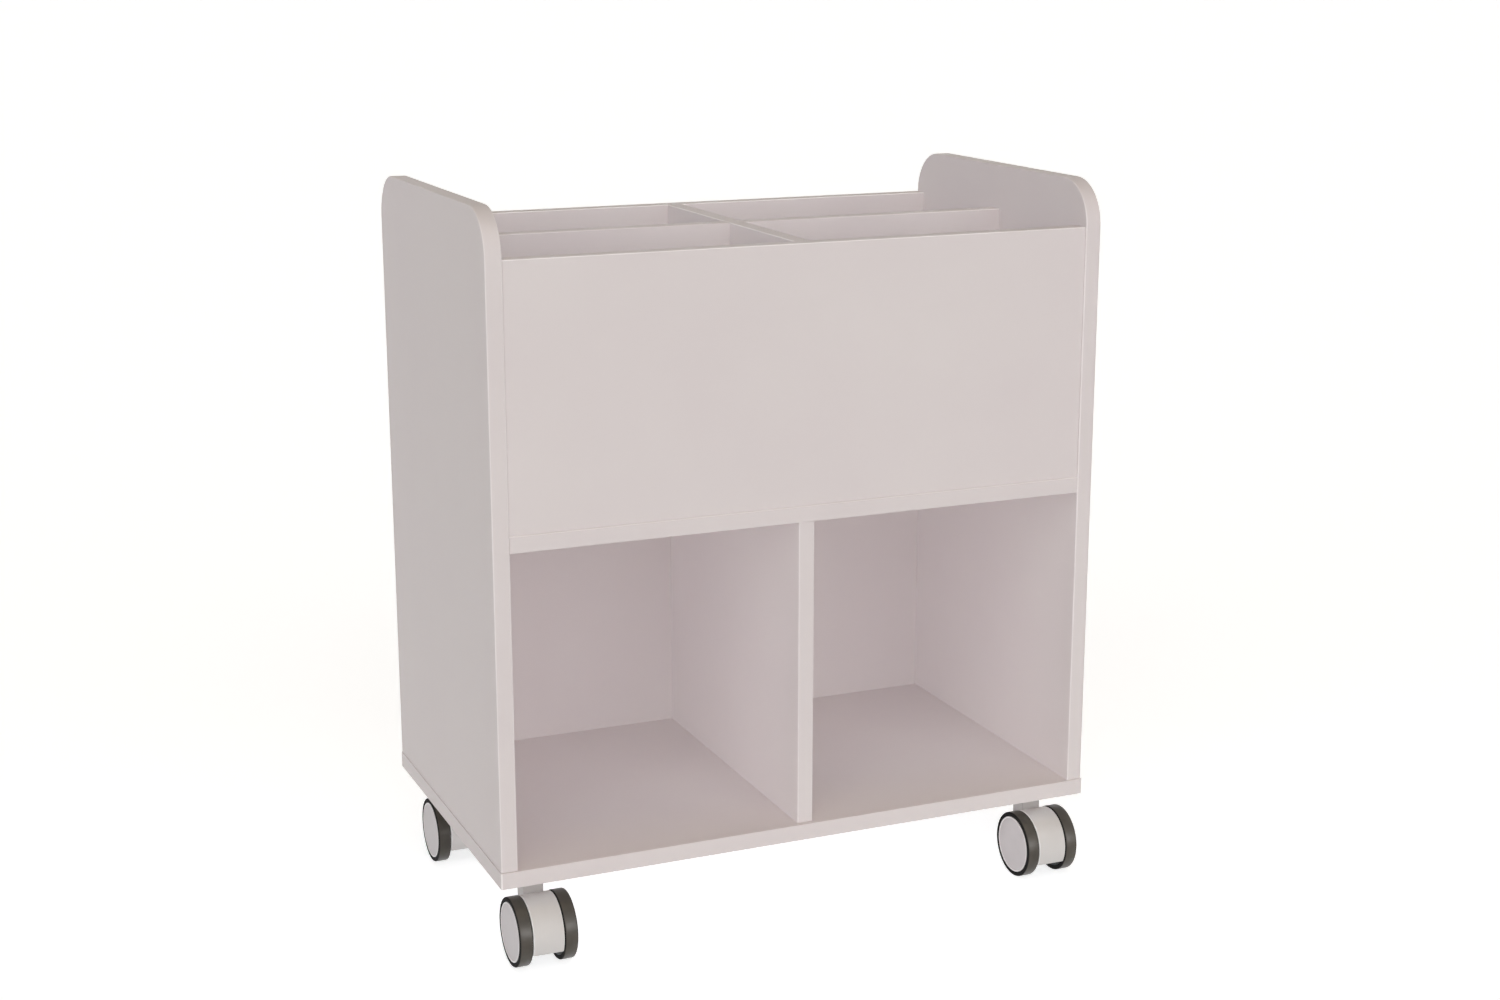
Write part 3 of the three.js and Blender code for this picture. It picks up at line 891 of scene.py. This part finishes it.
# Boss: a cylinder about the axle
def makeBoss(half, axle):
    angle = np.linspace(0, 2 * math.pi, hood["sides"], endpoint=False)
    ends = np.array([[-1], [1]]) * (half - hood["bossGap"]) + axle[0]
    points = np.stack(np.broadcast_arrays(
        ends, axle[1] + hood["boss"] * np.cos(angle), axle[2] + hood["boss"] * np.sin(angle),
    ), axis=-1)
    return addPiece("bossPart", points, cappedFaces(2, hood["sides"]), casterPlastic)


# Neck: a square with rounded corners carried upwards, drawn in by a quarter round at its top
def makeNeck(top, swivel):
    corners = np.array([(-1, -1), (1, -1), (1, 1), (-1, 1)]) * hood["neck"] / 2
    quarter = np.linspace(0, math.pi / 2, hood["neckSteps"] + 1)
    rounding = hood["neckTopRound"]
    inset = np.concatenate([[0, 0], rounding * (1 - np.cos(quarter))])
    straight = [hood["neckFoot"], top - 3 * rounding]
    height = np.concatenate([straight, top - rounding * (1 - np.sin(quarter))])
    rings = roundedOutline(corners, [hood["neckRound"]] * 4, inset, hood["neckSteps"])
    points = np.concatenate([
        rings + swivel, np.broadcast_to(height[:, None, None], (*rings.shape[:2], 1)),
    ], axis=-1)
    # The neck takes the greyer plastic: painted shade under the base
    return addPiece("neckPart", points, cappedFaces(*points.shape[:2]), neckPlastic)


def makeBore(top, swivel):
    heights = [hood["boreFoot"], top + hood["boreOver"]]
    points = turnedUpright(hood["pinBore"], heights, swivel, hood["sides"])
    return addPiece("boreTool", points, cappedFaces(2, hood["sides"]), casterPlastic)


# Hood: the shell with a web inside it, an axle boss, and a square neck bored for the stem's pin
def makeHood(name, node, body, axle, swivel):
    low, high = nodeBox(node)[:2]
    half, outside = (high[0] - low[0]) / 2, axle[1] - low[1]
    piece = makeShell(name, half, outside, axle)
    shapeWith(piece, makeWeb(outside, axle), "UNION")
    shapeWith(piece, makeBoss(half, axle), "UNION")
    shapeWith(piece, makeNeck(high[2], swivel), "UNION")
    shapeWith(piece, makeBore(high[2], swivel), "DIFFERENCE")
    fit(piece, body, "caster_plastic", node)


# Stems of the casters
stem = {
    "round": 0.5 * mm, "pin": 4 * mm, "core": 1 * mm,       # core: the flat that closes each end
    "collarHeight": 3.4 * mm, "thread": 5 * mm, "threadLength": 12 * mm,
    "steps": 4, "sides": 64,
}


# Stem: a turned pin in the neck, a round collar under the base and a thread up into the insert
def makeStem(name, node):
    low, high, place = nodeBox(node)
    collar, core, steps = (high[0] - low[0]) / 2, stem["core"], stem["steps"]
    collarTop = high[2] - stem["threadLength"]
    collarFoot = collarTop - stem["collarHeight"]
    corners = [
        (core, low[2]), (stem["pin"], low[2]), (stem["pin"], collarFoot), (collar, collarFoot),
        (collar, collarTop), (stem["thread"], collarTop), (stem["thread"], high[2]), (core, high[2]),
    ]
    radii = [0] + [stem["round"]] * (len(corners) - 2) + [0]
    profile = roundedOutline(corners, radii, [0], steps)[0][steps:-steps]
    points = turnedUpright(profile[:, :1], profile[:, 1], place, stem["sides"])
    piece = addPiece(name, points, cappedFaces(*points.shape[:2]), zincSteel)
    fit(piece, "carcass", "zinc_steel", node)


for corner in ("front_left", "front_right", "rear_left", "rear_right"):
    swivel = nodeBox(corner + "_stem")[2][:2]
    axle = nodeBox(corner + "_axle")[2]
    makeStem(camel(corner + "_stem"), corner + "_stem")
    makeHood(camel(corner + "_hood"), corner + "_hood", corner + "_caster", axle, swivel)
    outward = -1 if corner.endswith("left") else 1
    for face, hand in (("outer", outward), ("inner", -outward)):
        part = f"{corner}_{face}"
        makeHub(camel(part + "_hub"), part + "_hub", part + "_wheel", hand)
        makeTyre(camel(part + "_tyre"), part + "_tyre", part + "_wheel", hand)
    print("caster made:", corner)


# Fittings that keep their solids: axles, inserts, dowels
keptFinish = {"_axle": zincSteel, "_insert": insertBrass, "dowel_": dowelBeech}
for name, node in frame["nodes"].items():
    for part, material in keptFinish.items():
        if part in name:
            node.data.materials.clear()
            node.data.materials.append(material)
print("fittings finished")

for lamp, ending in studio["reach"].items():
    lit = bpy.data.collections.new(lamp + "Reach")
    for piece in scene.objects:
        if piece.name.endswith(ending):
            lit.objects.link(piece)
    bpy.data.objects[lamp].light_linking.receiver_collection = lit
print("lamps linked")
